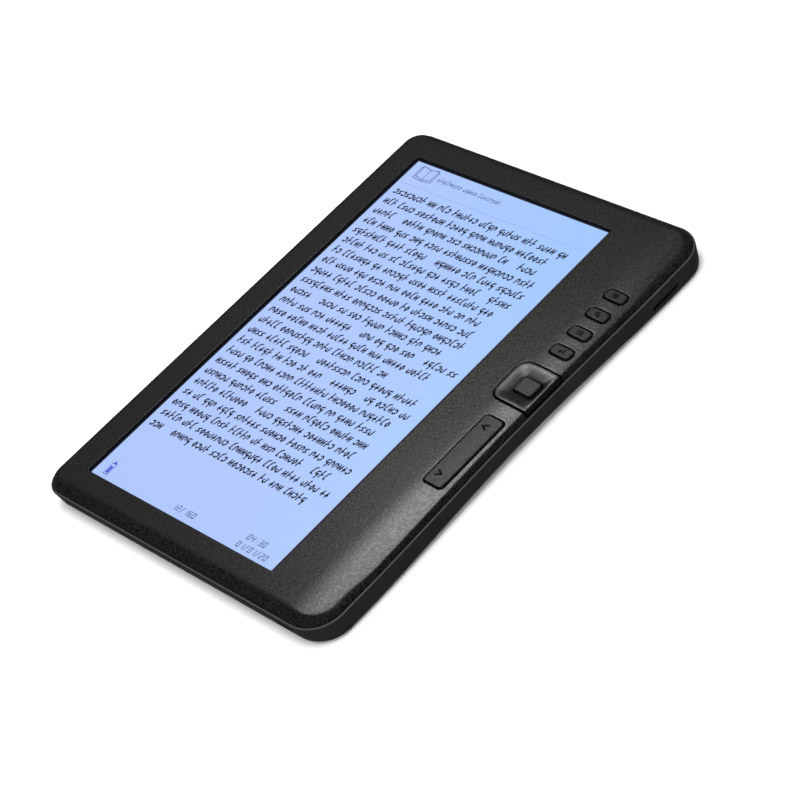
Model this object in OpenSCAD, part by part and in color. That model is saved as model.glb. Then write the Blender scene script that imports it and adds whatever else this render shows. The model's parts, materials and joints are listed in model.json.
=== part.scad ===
// Pocket e-reader with a lit page, lying on its back.
// +X is the reader's right, +Y the top of the page, +Z out of the screen.
// The origin is the middle of the back face. Millimetres.

/* [Body] */
// Overall width of the case, at its rim
body_w = 130.3; // [126:0.1:134]
// Overall length of the case, at its rim
body_l = 178.5; // [174:0.1:182]
// Centre of that length
body_y = -0.6; // [-1:0.05:0]
// How far the wall leans in from the rim to the back
tuck = 0.65; // [0:0.05:1]
// The same on the lower side, where it leans most
tuck_lower = 1.85; // [0.5:0.05:2]
// Overall thickness of the case
body_t = 11; // [11:0.1:12]
// Plan radius of the two left-hand corners
left_corner_r = 7.5; // [6:0.5:11]
// Plan radius of the two right-hand corners
right_corner_r = 11.5; // [8:0.5:13]
// How far the right flank is drawn in at its middle
waist = 1.2; // [0:0.1:2]
// Half the length of the drawn-in stretch
waist_half = 70; // [50:1:74]
// Thickness of the rear cover's floor and walls
wall = 1.6; // [1.4:0.1:1.8]
// Height of the rear cover's rim, where the front bezel drops in
rim_z = 8; // [7.8:0.1:8.2]

/* [Front face] */
// Where the front face starts to fall away towards the right edge
crown_start_x = 49.9; // [46:0.1:54]
// Radius of that falling surface
crown_r = 76; // [60:1:120]
// Run of the rolled front edge, seen from the front
roll_run = 4; // [3:0.1:5]
// Run of the same edge near the right-hand corners
roll_run_right = 5; // [4:0.1:6]
// Run of the same edge beside the keys, where it is steepest
roll_run_keys = 2.3; // [1:0.1:3]

/* [Display] */
// Width of the lit area
active_w = 85.92; // [80:0.01:90]
// Length of the lit area
active_l = 154.08; // [150:0.01:156]
// Centre of the lit area across the case
active_x = -8.1; // [-9:0.1:-7]
// Centre of the lit area along the case
active_y = -1.55; // [-2:0.05:0]
// Black border that shows beside the lit area
window_side = 1.1; // [0.5:0.1:2]
// Black border that shows above the lit area
window_top = 0.9; // [0.3:0.1:2]
// Black border that shows below the lit area
window_bottom = 0.4; // [0.2:0.1:2]

/* [Keys] */
// Column that the keys sit in
key_x = 56.8; // [56:0.1:57.5]
// Height that the key caps stand above the front face
key_rise = 0.35; // [0.3:0.05:1]
// Height of the select key in the middle of the direction pad
select_rise = 0.15; // [0:0.05:0.4]
// How far a key travels when pressed
key_travel = 0.3; // [0.2:0.05:0.35]
// Width of a small key
small_key_w = 7.4; // [6:0.1:8]
// Length of a small key
small_key_l = 3.8; // [3:0.1:4.5]
// Centre of the topmost small key
small_key_y = 53.95; // [50:0.05:56]
// Distance from one small key to the next
small_key_pitch = 8.5; // [8:0.1:9]
// Length of the page rocker
rocker_l = 28.8; // [24:0.1:32]
// Centre of the page rocker
rocker_y = -16.25; // [-18:0.05:-15]
// Length of the direction pad
dpad_l = 16; // [15:0.1:17]
// Centre of the direction pad
dpad_y = 12.6; // [12:0.1:13]

/* [Hidden] */
$fn = 48;

// Heights above the back face
lit_z = body_t - 0.8;           // face of the display
lip_z = body_t - 0.55;          // underside of the thin lip round the window
plate_z = body_t - 1.7;         // underside of the rest of the front plate
ledge_z = rim_z - 1.4;          // ledge that the bezel's skirt stands over
glass_z = lit_z - 1.5;          // underside of the glass cell
tray_z = lit_z - 3.7;           // underside of the display module
board_z = 4.2;                  // underside of the main board
board_t = 1;
key_board_z = 6;                // underside of the key board
key_board_t = 0.8;
key_deck_z = key_board_z + key_board_t;
dome_h = 0.3;

// Case joints
rim_w = 0.6;                    // thickness of the rear cover's rim
fit = 0.15;                     // gap between rim and bezel
bezel_inset = rim_w + fit;
skirt_inset = bezel_inset + 1.2;
edge_r = 25 / 24 * roll_run;    // radius of the rolled front edge, steep but not upright at the rim
steep_top = 46;                 // where the steep edge beside the keys starts to widen, above them
steep_top_fade = 26;
steep_bottom = -61;             // and below them
steep_bottom_fade = 15;
scoop = 3;                      // extra undercut of the right flank's lower edge
shoulder_z = rim_z - 0.7;       // top of the leaning wall

// Foot of the walls, level with the back face
back_w = body_w - 2 * tuck;
lower_y = body_y - body_l / 2 + tuck_lower;
upper_y = body_y + body_l / 2 - tuck;

// Display module
module_w = 100;
module_l = 165;
module_x = -5.6;
module_y = active_y;

// Keys
key_gap = 0.5;                  // gap round a key cap
flange = 0.8;                   // hidden rim that keeps a key in
flange_z = [plate_z - 0.7, plate_z - 0.1];
actuator_z = key_deck_z + dome_h + key_travel + 0.05;
rocker_w = 7.2;
rocker_pivot_z = key_deck_z + 1.1;
dpad_left_x = 48.2;
dpad_right_x = body_w / 2 - waist - rim_w - key_gap;
dpad_base_z = plate_z - 1.2;
dpad_arms = [[-5, 0], [3.4, 0], [0, 5.2], [0, -5.2]];
select_w = 6.8;
select_l = 5.9;
pivot_z = key_deck_z + 0.45;    // axis of the pad's up-and-down rock
pivot_top_z = pivot_z + 0.45;   // axis of its side-to-side rock
pivot_half_y = 3.6;

// Fasteners
case_screw_r = 0.8;
case_screws_at = [
    [-60.2, -74], [-60.2, 0], [-60.2, 74],
    [58, -81], [58, 81], [47.3, -22]
];
board_screws_at = [[23, -78], [23, 0], [23, 78], [55, -62]];
key_board_screws_at = [[59.8, -33.8], [53.4, 23.55], [53.4, 60.2]];

// Sockets and switches, by the middle of each along its own side
usb_x = 47.9;
usb_z = board_z - 1.25;
reset_x = 54.5;
reset_z = board_z - 0.8;
card_y = 65.7;
card_z = board_z - 1.1;
jack_x = 50.5;
jack_z = 4.3;
jack_bore_r = 1.8;
power_x = 28;
power_z = board_z - 0.95;
power_throw = 2;

// Battery
battery_at = [-48, -56];
battery_size = [60, 92, 3.5];
tape_t = 0.3;

corner_steps = 10;
flank_steps = 28;

// ---------------------------------------------------------------- outline

// Fades from 1 in the middle of the right flank to 0 at the ends of its waist
function waist_fade(y) = abs(y) < waist_half ? pow(1 - pow(y / waist_half, 2), 2) : 0;

// Fades from 1 beside the keys to 0 near the right-hand corners
function key_fade(y) = let (
    over = max((y - steep_top) / steep_top_fade, (steep_bottom - y) / steep_bottom_fade),
    t = min(1, max(0, over))
) 1 - t * t * (3 - 2 * t);

function corner(side_x, side_y, from, r) = [
    for (i = [0 : corner_steps])
        let (
            a = from + 90 * i / corner_steps,
            u = [cos(a), sin(a)],
            middle = [side_x * (body_w / 2 - r), body_y + side_y * (body_l / 2 - r)]
        )
        [middle.x + r * u.x, middle.y + r * u.y, u.x, u.y]
];

function right_flank() = [
    for (i = [1 : flank_steps - 1])
        let (y = waist_half * (2 * i / flank_steps - 1))
        [body_w / 2 - waist * waist_fade(y), y, 1, 0]
];

// Points of the rim's outline, each with its outward direction
outline = concat(
    corner(1, -1, -90, right_corner_r),
    right_flank(),
    corner(1, 1, 0, right_corner_r),
    corner(-1, 1, 90, left_corner_r),
    corner(-1, -1, 180, left_corner_r)
);

function inset_point(p, d) = [p.x - p[2] * d, p.y - p[3] * d];
function plan(d) = [for (p = outline) inset_point(p, d)];

// 1 on the right flank and 0 on the other sides
function rightness(p) = max(0, p[2]);

// How far the wall stands in from the rim at a height
function lean(p, z) =
    (tuck + (tuck_lower - tuck) * pow(max(0, -p[3]), 2)) * max(0, 1 - z / shoulder_z);

// Outline point at a height, set in from the wall's outer face
function wall_point(p, d, z) = concat(inset_point(p, d + lean(p, z)), z);

// Solid skin through rings that all have the same number of points
module loft(rings) {
    n = len(rings[0]);
    m = len(rings);
    bottom = [for (i = [0 : n - 1]) i];
    top = [for (i = [n - 1 : -1 : 0]) (m - 1) * n + i];
    sides = [
        for (k = [0 : m - 2], i = [0 : n - 1])
            let (a = k * n + i, b = k * n + (i + 1) % n)
            each [[a, a + n, b + n], [a, b + n, b]]
    ];
    polyhedron([for (r = rings) each r], concat([bottom], sides, [top]));
}

module slab(d, z0, z1) {
    translate([0, 0, z0])
        linear_extrude(z1 - z0)
            polygon(plan(d));
}

module rounded(w, l, r) {
    square([w - 2 * r, l], center = true);
    square([w, l - 2 * r], center = true);
    for (x = [-1, 1], y = [-1, 1])
        translate([x * (w / 2 - r), y * (l / 2 - r)])
            circle(r);
}

module block(size, at) {
    translate(at)
        cube(size);
}

module centred_block(size, at) {
    translate([at.x - size.x / 2, at.y - size.y / 2, at.z])
        cube(size);
}

module drill(r, at, z0, z1) {
    translate([at.x, at.y, z0])
        cylinder(h = z1 - z0, r = r);
}

// Everything below the front face, raised by a given height
module below_front(rise) {
    z = body_t + rise;
    rotate([90, 0, 0])
        linear_extrude(2 * body_l, center = true) {
            translate([-body_w, -1])
                square([body_w + crown_start_x, z + 1]);
            translate([crown_start_x, z - crown_r])
                circle(crown_r, $fn = 360);
        }
}

// ------------------------------------------------------------------ housing

// On the right the rolled edge is wide near the corners and steep beside the keys
function roll_at(p) = let (right_run = roll_run_right + (roll_run_keys - roll_run_right) * key_fade(p.y))
    roll_run + (right_run - roll_run) * rightness(p);

roll_angles = [for (i = [6 : -1 : 0]) asin(roll_run / edge_r) * i / 6];

module bezel_blank() {
    foot = [for (p = outline) concat(inset_point(p, bezel_inset), ledge_z + fit)];
    rolled = [
        for (a = roll_angles) [
            for (p = outline)
                let (in = roll_at(p) * (1 - sin(a) * edge_r / roll_run))
                concat(inset_point(p, bezel_inset + in), body_t - edge_r * (1 - cos(a)))
        ]
    ];
    intersection() {
        loft(concat([foot], rolled));
        below_front(0);
    }
}

module window_cut() {
    w = active_w + 2 * window_side;
    l = active_l + window_top + window_bottom;
    translate([active_x, active_y + (window_top - window_bottom) / 2, 0])
        linear_extrude(2 * body_t)
            rounded(w, l, 1.2);
}

module key_cut(w, l, r, at) {
    translate([at.x, at.y, 0])
        linear_extrude(2 * body_t)
            rounded(w + 2 * key_gap, l + 2 * key_gap, r + key_gap);
}

// Plan of the direction pad, grown by a gap; its right side runs out to x_end
module dpad_plan(grow, x_end, right_r) {
    r = 4 + grow;
    l = dpad_l + 2 * grow;
    x0 = dpad_left_x - grow;
    translate([x0 + r, dpad_y - l / 2])
        square([x_end - right_r - x0 - r, l]);
    translate([x0, dpad_y - l / 2 + r])
        square([x_end - x0, l - 2 * r]);
    for (y = [-1, 1]) {
        translate([x0 + r, dpad_y + y * (l / 2 - r)])
            circle(r);
        translate([x_end - right_r, dpad_y + y * (l / 2 - right_r)])
            circle(right_r);
        translate([x_end - r, dpad_y + y * (l / 4 - right_r / 2) - l / 4 + right_r / 2])
            square([r, l / 2 - right_r]);
    }
}

module front_bezel() {
    color("#26272a")
        difference() {
            union() {
                difference() {
                    bezel_blank();
                    slab(skirt_inset, 0, plate_z);
                    centred_block([module_w + 0.4, module_l + 0.4, lip_z], [module_x, module_y, 0]);
                    window_cut();
                    for (i = [0 : 3])
                        key_cut(small_key_w, small_key_l, 1.2, [key_x, small_key_y - i * small_key_pitch]);
                    key_cut(rocker_w, rocker_l, 1.2, [key_x, rocker_y]);
                    linear_extrude(2 * body_t)
                        dpad_plan(key_gap, body_w / 2 + 5, 0.5);
                }
                for (at = case_screws_at)
                    drill(2.2, at, ledge_z, plate_z);
                for (at = key_board_screws_at)
                    drill(1.5, at, key_deck_z, plate_z);
            }
            for (at = case_screws_at)
                drill(case_screw_r + 0.02, at, 0, plate_z - 0.3);
            for (at = key_board_screws_at)
                drill(0.62, at, 0, plate_z - 0.4);
        }
}

lower_round = [for (i = [0 : 4]) 90 * i / 4];

function scoop_at(p) = scoop * rightness(p) * waist_fade(p.y);

module rear_blank() {
    rounds = [
        for (a = lower_round) [
            for (p = outline)
                let (s = scoop_at(p))
                wall_point(p, (wall + s) * (1 - sin(a)), (wall + 0.7 * s) * (1 - cos(a)))
        ]
    ];
    shoulder = [for (p = outline) wall_point(p, 0, shoulder_z)];
    rim = [for (p = outline) wall_point(p, 0.3, rim_z)];
    loft(concat(rounds, [shoulder, rim]));
}

// Space inside the leaning walls
module rear_cavity() {
    foot = [for (p = outline) wall_point(p, wall + 0.6 * scoop_at(p), wall / 2)];
    knee = [for (p = outline) wall_point(p, wall, wall + 0.8 + 0.5 * scoop_at(p))];
    top = [for (p = outline) wall_point(p, wall, ledge_z + 0.5)];
    intersection() {
        loft([foot, knee, top]);
        block([2 * body_w, 2 * body_l, body_t], [-body_w, -body_l, wall]);
    }
}

// Ribs that keep the battery from sliding
module battery_frame() {
    gap = 0.5;
    rib = 1;
    size = battery_size + 2 * [gap, gap, 0];
    at = concat(battery_at - [gap, gap], 0);
    difference() {
        block(size + [2 * rib, 2 * rib, wall + 1.4 - size.z], at - [rib, rib, 0]);
        block(size + [0, 0, wall], at);
        // gap for the leads
        block([4 * rib, 8, 2 * body_t], [battery_at.x + battery_size.x, 24, wall]);
    }
}

module side_openings() {
    // charging socket and reset pin hole, lower side
    translate([usb_x, lower_y, usb_z])
        rotate([90, 0, 0])
            linear_extrude(4 * wall, center = true)
                rounded(8.8, 3.1, 1);
    translate([reset_x, lower_y, reset_z])
        rotate([90, 0, 0])
            cylinder(h = 4 * wall, r = 0.6, center = true);
    // card slot, right side
    translate([back_w / 2, card_y, card_z])
        rotate([90, 0, 90])
            linear_extrude(8 * wall, center = true)
                rounded(12.4, 1.5, 0.7);
    // headphone jack and power switch, upper side
    translate([jack_x, upper_y, jack_z])
        rotate([90, 0, 0])
            cylinder(h = 4 * wall, r = 2.45, center = true);
    translate([power_x, upper_y, power_z])
        rotate([90, 0, 0])
            linear_extrude(4 * wall, center = true)
                rounded(4 + power_throw + 0.8, 2.2, 0.8);
}

module rear_cover() {
    color("#17181a")
        difference() {
            union() {
                difference() {
                    rear_blank();
                    rear_cavity();
                    slab(rim_w, ledge_z, 2 * body_t);
                }
                for (at = case_screws_at)
                    drill(2.2, at, wall / 2, ledge_z - fit);
                for (at = board_screws_at)
                    drill(2, at, wall / 2, board_z);
                battery_frame();
                for (at = [[-53, -72], [-53, 68], [-20, -78], [-20, 74]])
                    centred_block([4, 6, tray_z - wall / 2], [at.x, at.y, wall / 2]);
            }
            for (at = case_screws_at) {
                drill(1.8, at, -1, wall);
                drill(1, at, 0, 2 * body_t);
            }
            for (at = board_screws_at)
                drill(0.62, at, wall, 2 * body_t);
            side_openings();
        }
}

// Pan-head screw pointing up, its head's face at z = 0
module screw_up(head_r, head_h, r, length) {
    difference() {
        union() {
            cylinder(h = head_h, r1 = head_r - 0.25, r2 = head_r);
            cylinder(h = head_h + length, r = r);
        }
        for (a = [0, 90])
            rotate(a)
                centred_block([1.4 * head_r, 0.4, 1], [0, 0, -1 + 0.55 * head_h]);
    }
}

module case_screws() {
    color("#2b2b2d")
        for (at = case_screws_at)
            translate([at.x, at.y, wall - 1])
                screw_up(1.6, 1, case_screw_r, plate_z - 0.6 - wall);
}

// ------------------------------------------------------------------ display

module window_gasket() {
    color("#101012")
        translate([active_x, active_y, glass_z + 1.35])
            linear_extrude(lip_z - glass_z - 1.35)
                difference() {
                    square([active_w + 7.6, active_l + 7.6], center = true);
                    square([active_w + 4.2, active_l + 4.2], center = true);
                }
}

module polariser() {
    color("#b9d0f4")
        centred_block([active_w + 4, active_l + 4, 0.15], [active_x, active_y, glass_z + 1.35]);
}

module lcd_glass() {
    color("#33383d")
        centred_block([module_w - 2, module_l - 3, 1.35], [module_x, module_y, glass_z]);
}

module optical_films() {
    color("#eef1f4")
        centred_block([module_w - 5, module_l - 5, 0.5], [module_x, module_y, glass_z - 0.6]);
}

module light_guide() {
    color("#dfe9ee")
        block([module_w - 7, module_l - 5, 1.1],
            [module_x - module_w / 2 + 4.5, module_y - module_l / 2 + 2.5, tray_z + 0.3]);
}

module backlight_leds() {
    count = 24;
    strip_x = module_x - module_w / 2 + 1.8;
    step = (module_l - 12) / (count - 1);
    color("#f4eec2") {
        centred_block([0.3, module_l - 8, 1.1], [strip_x, module_y, tray_z + 0.3]);
        for (i = [0 : count - 1])
            centred_block([1.2, 3, 0.9],
                [strip_x + 0.7, module_y + (i - (count - 1) / 2) * step, tray_z + 0.3]);
    }
}

module lcd_tray() {
    t = 0.3;
    side = 1.2;
    color("#9a9da1")
        difference() {
            centred_block([module_w, module_l, glass_z - tray_z], [module_x, module_y, tray_z]);
            centred_block([module_w - 2 * side, module_l - 2 * side, body_t], [module_x, module_y, tray_z + t]);
        }
}

module lcd_flex() {
    x0 = module_x + module_w / 2 - 1;
    x1 = x0 + 1.6;
    z0 = board_z + board_t + 0.5;
    z1 = glass_z + 0.2;
    t = 0.2;
    color("#b06a2c")
        translate([0, -40, 0])
            rotate([90, 0, 0])
                linear_extrude(30) {
                    translate([x0, z1])
                        square([x1 - x0, t]);
                    translate([x1 - t, z0])
                        square([t, z1 + t - z0]);
                    translate([x1 - t, z0])
                        square([2.8, t]);
                }
}

// --------------------------------------------------------------------- keys

// Cap with rounded plan whose top follows the front face at a given height
module cap(w, l, r, at, z0, rise = key_rise) {
    intersection() {
        translate([at.x, at.y, z0])
            linear_extrude(body_t)
                rounded(w, l, r);
        below_front(rise);
    }
}

module actuator(at, z1) {
    drill(0.9, at, actuator_z, z1);
}

module small_key(i) {
    at = [key_x, small_key_y - i * small_key_pitch];
    color("#202124") {
        cap(small_key_w, small_key_l, 1.2, at, flange_z[0]);
        centred_block([small_key_w + 2 * flange, small_key_l + 2 * flange, flange_z[1] - flange_z[0]],
            [at.x, at.y, flange_z[0]]);
        actuator(at, flange_z[0] + 0.1);
    }
}

module menu_key() {
    small_key(0);
}

module zoom_key() {
    small_key(1);
}

module view_key() {
    small_key(2);
}

module back_key() {
    small_key(3);
}

module page_rocker() {
    at = [key_x, rocker_y];
    z0 = plate_z - 1;
    color("#202124") {
        cap(rocker_w, rocker_l, 1.2, at, z0);
        centred_block([rocker_w + 2 * flange, rocker_l + 1, 0.5], [at.x, at.y, z0]);
        for (y = [-11, 11])
            actuator(at + [0, y], z0 + 0.1);
        // rounded rib that it rocks on
        translate([at.x, at.y, rocker_pivot_z])
            rotate([0, 90, 0])
                cylinder(h = 4, r = 0.8, center = true);
        centred_block([4, 1.6, z0 - rocker_pivot_z + 0.1], [at.x, at.y, rocker_pivot_z]);
    }
}

module rocker_saddle() {
    color("#d8d6cf")
        difference() {
            centred_block([4.6, 3, 1], [key_x, rocker_y, key_deck_z]);
            translate([key_x, rocker_y, rocker_pivot_z])
                rotate([0, 90, 0])
                    cylinder(h = 6, r = 0.85, center = true);
        }
}

module dpad_ring() {
    hole_gap = 0.35;
    dish_r = 40;
    color("#1f2023")
        difference() {
            union() {
                intersection() {
                    translate([0, 0, dpad_base_z])
                        linear_extrude(body_t)
                            dpad_plan(0, dpad_right_x, 0.5);
                    below_front(key_rise);
                }
                block([dpad_right_x - dpad_left_x - 0.7, dpad_l + 2 * flange, 0.5],
                    [dpad_left_x - flange, dpad_y - dpad_l / 2 - flange, dpad_base_z]);
                for (arm = dpad_arms)
                    actuator([key_x, dpad_y] + arm, dpad_base_z + 0.1);
            }
            translate([key_x, dpad_y, 0])
                linear_extrude(2 * body_t)
                    rounded(select_w + 2 * hole_gap, select_l + 2 * hole_gap, 1.2);
            // shallow dish round the select key
            translate([key_x, dpad_y, body_t + dish_r - 0.75])
                sphere(dish_r, $fn = 120);
        }
}

module select_key() {
    color("#202124") {
        cap(select_w, select_l, 1, [key_x, dpad_y], pivot_top_z + 0.6, select_rise);
        actuator([key_x, dpad_y], pivot_top_z + 0.7);
    }
}

// Rubber cross that the pad rocks on: ribs below run across, ribs above run along
module dpad_pivot() {
    color("#3b3d40")
        difference() {
            union() {
                centred_block([6.4, 2 * pivot_half_y + 1, pivot_top_z - pivot_z], [key_x, dpad_y, pivot_z]);
                for (x = [-1.7, 1.7])
                    translate([key_x + x, dpad_y, pivot_z])
                        rotate([0, 90, 0])
                            cylinder(h = 0.8, r = 0.4, center = true);
                for (y = [-1, 1])
                    translate([key_x, dpad_y + y * pivot_half_y, pivot_top_z])
                        rotate([90, 0, 0])
                            cylinder(h = 0.8, r = 0.35, center = true);
            }
            drill(1.6, [key_x, dpad_y], 0, body_t);
        }
}

// ---------------------------------------------------------------- key board

module key_board() {
    color("#1d5b35")
        difference() {
            union() {
                block([61 - 51.6, 97, key_board_t], [51.6, -35.6, key_board_z]);
                block([61.5 - 50, 16, key_board_t], [50, dpad_y - 8, key_board_z]);
            }
            for (at = key_board_screws_at)
                drill(0.75, at, 0, body_t);
        }
}

// Low stepped dome of a given foot radius
module snap_dome(at, foot_r) {
    translate([at.x, at.y, key_deck_z]) {
        cylinder(h = 0.6 * dome_h, r1 = foot_r, r2 = 0.8 * foot_r);
        cylinder(h = dome_h, r = 0.5 * foot_r);
    }
}

module snap_domes() {
    color("#c9cbce") {
        for (i = [0 : 3])
            snap_dome([key_x, small_key_y - i * small_key_pitch], 2);
        for (y = [-11, 11])
            snap_dome([key_x, rocker_y + y], 2);
        for (arm = concat(dpad_arms, [[0, 0]]))
            snap_dome([key_x, dpad_y] + arm, 1.2);
    }
}

module key_board_screws() {
    color("#a9abaf")
        for (at = key_board_screws_at)
            translate([at.x, at.y, key_board_z - 0.6])
                screw_up(1.1, 0.6, 0.6, 2.4);
}

module key_flex() {
    color("#b06a2c")
        block([5.4, 8, 0.15], [52.6, -38, key_board_z - 0.15]);
}

// --------------------------------------------------------------- main board

module main_board() {
    color("#1a6a3c")
        difference() {
            block([61 - 19, 84.9 + 84.6, board_t], [19, -84.6, board_z]);
            for (at = case_screws_at)
                drill(2.7, at, 0, body_t);
            for (at = board_screws_at)
                drill(0.9, at, 0, body_t);
            // corners cut back round the two corner posts
            for (y = [-1, 1])
                block([6, 10, body_t], [56, y > 0 ? 78.5 : -88.5, 0]);
            // notch that the headphone jack sits in
            centred_block([6.8, 14, body_t], [jack_x, 80.9, 0]);
        }
}

module board_screws() {
    color("#a9abaf")
        for (at = board_screws_at)
            translate([at.x, at.y, board_z + board_t + 0.6])
                rotate([180, 0, 0])
                    screw_up(1.5, 0.6, 0.6, 3.2);
}

// Part that hangs under the main board
module under_board(size, at) {
    centred_block(size, [at.x, at.y, board_z - size.z]);
}

module processor() {
    color("#222326")
        under_board([14, 14, 1.2], [37, 20]);
}

module memory_chip() {
    color("#222326")
        under_board([10, 13, 1.1], [36, 42]);
}

module flash_chip() {
    color("#222326") {
        under_board([12, 18.4, 1], [36, -16]);
        for (i = [0 : 11], y = [-1, 1])
            under_board([0.3, 1, 0.2], [36 + (i - 5.5) * 0.9, -16 + y * 9.7]);
    }
}

module power_coils() {
    color("#4a4c50")
        for (y = [-46, -39, -32])
            under_board([4, 4, 1.8], [30, y]);
}

module crystal() {
    color("#c4c6c9")
        under_board([3.2, 5, 0.9], [49, 20]);
}

module flex_sockets() {
    color("#e6e1d4") {
        difference() {
            block([3.6, 32, 1], [47, -71, board_z + board_t]);
            block([2, 30.4, 0.3], [46, -70.2, board_z + board_t + 0.45]);
        }
        block([7, 3, 1], [51.8, -41, board_z + board_t]);
    }
}

// ----------------------------------------------------- sockets and switches

module usb_socket() {
    depth = 5.6;
    mouth_y = lower_y + 0.8;
    color("#b9bcc0") {
        translate([usb_x, mouth_y, usb_z])
            rotate([-90, 0, 0]) {
                difference() {
                    linear_extrude(depth)
                        rounded(7.5, 2.5, 0.6);
                    translate([0, 0, -1])
                        linear_extrude(depth)
                            rounded(6.9, 1.9, 0.4);
                }
            }
    }
    // tongue with the contacts
    color("#1a1a1c")
        centred_block([4, depth - 1.6, 0.6], [usb_x, mouth_y + 1.2 + (depth - 1.6) / 2, usb_z - 0.3]);
}

module card_socket() {
    color("#b4b7bb")
        difference() {
            block([14.5, 14.6, 1.8], [46.6, card_y - 7.3, board_z - 1.8]);
            block([14.5, 11.3, 1.1], [47.6, card_y - 5.65, card_z - 0.5]);
        }
}

module headphone_jack() {
    color("#1c1c1e")
        difference() {
            union() {
                centred_block([6.2, 11.4, 4.4], [jack_x, 80.4, jack_z - 2.2]);
                translate([jack_x, 85.5, jack_z])
                    rotate([-90, 0, 0])
                        cylinder(h = 2.1, r = 2.3);
            }
            translate([jack_x, 88, jack_z])
                rotate([90, 0, 0])
                    cylinder(h = 12.3, r = jack_bore_r);
        }
}

module power_switch() {
    color("#b9bcc0")
        difference() {
            centred_block([9, 3.4, 1.9], [power_x, 83.2, board_z - 1.9]);
            centred_block([3 + power_throw, 2, 1], [power_x, 84.4, power_z - 0.5]);
        }
}

// Drawn in the off place; it slides towards +X
module power_knob() {
    x = power_x - power_throw / 2;
    color("#2a2b2e") {
        centred_block([1.8, 2.6, 0.8], [x, 85, power_z - 0.4]);
        difference() {
            centred_block([4, 1.5, 1.5], [x, 87.05, power_z - 0.75]);
            for (i = [-1 : 1])
                centred_block([0.4, 0.3, 2], [x + i * 1.1, 87.8, power_z - 1]);
        }
    }
}

module reset_switch() {
    color("#b9bcc0")
        difference() {
            centred_block([2.4, 2.6, 1.6], [reset_x, -83, board_z - 1.6]);
            centred_block([1.6, 2, 1], [reset_x, -84, reset_z - 0.5]);
        }
}

module reset_plunger() {
    color("#e8e4da")
        centred_block([1.4, 1.6, 0.8], [reset_x, -84.2, reset_z - 0.4]);
}

// ------------------------------------------------------------------ battery

module battery() {
    color("#a7acb1")
        block(battery_size, concat(battery_at, wall + tape_t));
}

module battery_tape() {
    color("#e2ddc8")
        block([battery_size.x - 10, battery_size.y - 12, tape_t], concat(battery_at + [5, 6], wall));
}

plug_x = 20.5;
lead_z = board_z - 0.8;

module battery_wires() {
    x0 = battery_at.x + battery_size.x;
    color("#b3322b")
        for (y = [27, 29])
            translate([x0, y, lead_z])
                rotate([0, 90, 0])
                    cylinder(h = plug_x - x0, r = 0.4);
}

module battery_plug() {
    color("#efeadd")
        under_board([4, 6, 1.5], [plug_x + 2, 28]);
}

// -------------------------------------------------------------------- nodes

rear_cover();
front_bezel();
case_screws();
window_gasket();
polariser();
lcd_glass();
optical_films();
light_guide();
backlight_leds();
lcd_tray();
lcd_flex();
menu_key();
zoom_key();
view_key();
back_key();
dpad_ring();
select_key();
dpad_pivot();
page_rocker();
rocker_saddle();
key_board();
snap_domes();
key_board_screws();
key_flex();
main_board();
board_screws();
processor();
memory_chip();
flash_chip();
power_coils();
crystal();
flex_sockets();
usb_socket();
card_socket();
headphone_jack();
power_switch();
power_knob();
reset_switch();
reset_plunger();
battery();
battery_tape();
battery_wires();
battery_plug();
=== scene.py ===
"""Looks of a pocket e-reader with a lit page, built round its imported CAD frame."""

import json
import math
import random

import bpy
import numpy as np
from mathutils import Matrix, Vector
from mathutils.geometry import delaunay_2d_cdt


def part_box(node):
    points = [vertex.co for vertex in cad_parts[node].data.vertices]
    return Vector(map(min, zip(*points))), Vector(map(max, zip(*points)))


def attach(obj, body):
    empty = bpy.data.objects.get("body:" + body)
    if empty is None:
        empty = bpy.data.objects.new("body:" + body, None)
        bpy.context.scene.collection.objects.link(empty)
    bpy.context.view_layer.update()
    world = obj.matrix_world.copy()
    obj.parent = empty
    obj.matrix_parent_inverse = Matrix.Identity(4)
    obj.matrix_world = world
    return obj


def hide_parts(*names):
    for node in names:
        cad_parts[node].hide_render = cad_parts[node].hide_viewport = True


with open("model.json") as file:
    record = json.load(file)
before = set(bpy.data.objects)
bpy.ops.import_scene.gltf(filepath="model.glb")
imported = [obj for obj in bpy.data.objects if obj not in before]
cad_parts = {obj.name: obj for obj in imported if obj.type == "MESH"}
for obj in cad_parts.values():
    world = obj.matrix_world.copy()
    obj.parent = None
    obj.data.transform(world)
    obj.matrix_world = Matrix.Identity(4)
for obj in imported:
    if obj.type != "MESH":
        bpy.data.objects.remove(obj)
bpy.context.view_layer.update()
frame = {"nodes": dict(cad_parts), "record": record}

MM = 0.001  # lengths below are in millimetres, and meshes are scaled by this when they are made


def box_mm(node):
    """Lowest and highest corner of a CAD node, in millimetres."""
    return tuple(np.array(corner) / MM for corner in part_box(node))


# ------------------------------------------------------------- frame measures

REAR_LOW, REAR_HIGH = box_mm("rear_cover")
BEZEL_LOW, BEZEL_HIGH = box_mm("front_bezel")
HALF_W = REAR_HIGH[0]
HALF_L = (REAR_HIGH[1] - REAR_LOW[1]) / 2
MIDDLE_Y = (REAR_HIGH[1] + REAR_LOW[1]) / 2
RIM_Z = REAR_HIGH[2]
FACE_Z = BEZEL_HIGH[2]
FOOT_Z = BEZEL_LOW[2]
BEZEL_INSET = HALF_W - BEZEL_HIGH[0]
LIP_Z = box_mm("window_gasket")[1][2]
PANEL_LOW, PANEL_HIGH = box_mm("polariser")
LIT_Z = PANEL_HIGH[2]
TRAY_LOW, TRAY_HIGH = box_mm("lcd_tray")

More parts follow.
